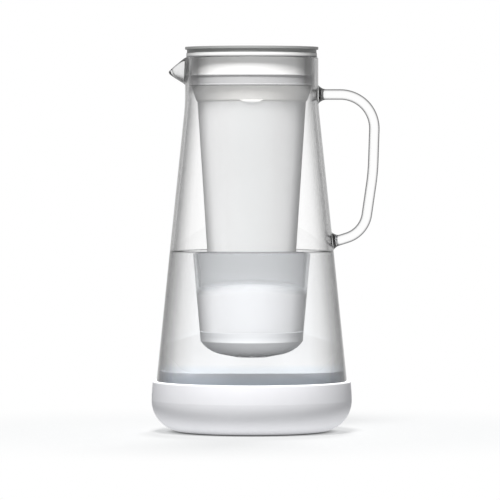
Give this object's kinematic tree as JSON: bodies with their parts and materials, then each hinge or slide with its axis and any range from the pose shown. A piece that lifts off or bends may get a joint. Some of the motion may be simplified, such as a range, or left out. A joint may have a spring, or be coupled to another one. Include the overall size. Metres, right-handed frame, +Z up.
{
  "type": "water filter pitcher",
  "caption": "Tall conical glass water pitcher with a pinched spout, bent glass rod handle, soft base boot, flip lid and a lift-out hopper that carries a filter cartridge.",
  "frame": {"origin": "centre of the flat sole of the base boot, on the jug's axis", "axes": "+Z up along the jug's axis, +X towards the handle, -X towards the spout, -Y towards the viewer of the picture"},
  "size_m": [0.1596, 0.1402, 0.2689],
  "materials": {
    "clear_glass": "clear borosilicate, fire polished",
    "white_silicone": "matte white silicone",
    "clear_silicone": "milky soft silicone",
    "white_plastic": "satin white moulding",
    "grey_plastic": "light grey satin moulding",
    "frosted_plastic": "frosted translucent moulding",
    "steel_pin": "ground stainless pin",
    "filter_white": "opaque white moulding",
    "screen_mesh": "fine moulded net",
    "felt": "pressed felt",
    "carbon": "granular carbon",
    "resin": "cast resin",
    "fibre": "bundle of hollow fibres"
  },
  "bodies": {
    "jug": {"glass_jug": "clear_glass", "glass_handle": "clear_glass", "base_boot": "white_silicone"},
    "insert": {"rim_seal": "clear_silicone", "wall_seal": "clear_silicone", "collar_ring": "white_plastic", "hinge_pin": "steel_pin", "hopper": "frosted_plastic", "hopper_seal": "clear_silicone", "cup_seal": "clear_silicone"},
    "flip_lid": {"lid_disc": "grey_plastic", "lid_plug": "white_plastic", "lid_seal": "clear_silicone"},
    "cartridge": {"cartridge_shell": "filter_white", "cartridge_dome": "filter_white", "inlet_screen": "screen_mesh", "upper_felt": "felt", "carbon_bed": "carbon", "lower_felt": "felt", "outlet_screen": "screen_mesh", "cartridge_seal": "clear_silicone"},
    "membrane_cup": {"cup_shell": "filter_white", "potting_disc": "resin", "fibre_bundle": "fibre"}
  },
  "joints": [
    {"name": "insert_lift", "type": "slide", "parent": "jug", "child": "insert", "axis": [0, 0, 1], "range_m": [0, 0.215]},
    {"name": "lid_hinge", "type": "hinge", "parent": "insert", "child": "flip_lid", "pos_m": [0, 0.042, 0.267], "axis": [-1, 0, 0], "range_deg": [0, 95]},
    {"name": "cartridge_lift", "type": "slide", "parent": "insert", "child": "cartridge", "axis": [0, 0, 1], "range_m": [0, 0.15]},
    {"name": "cup_twist", "type": "hinge", "parent": "insert", "child": "membrane_cup", "pos_m": [0, 0, 0.06], "axis": [0, 0, 1], "range_deg": [0, 45]}
  ]
}
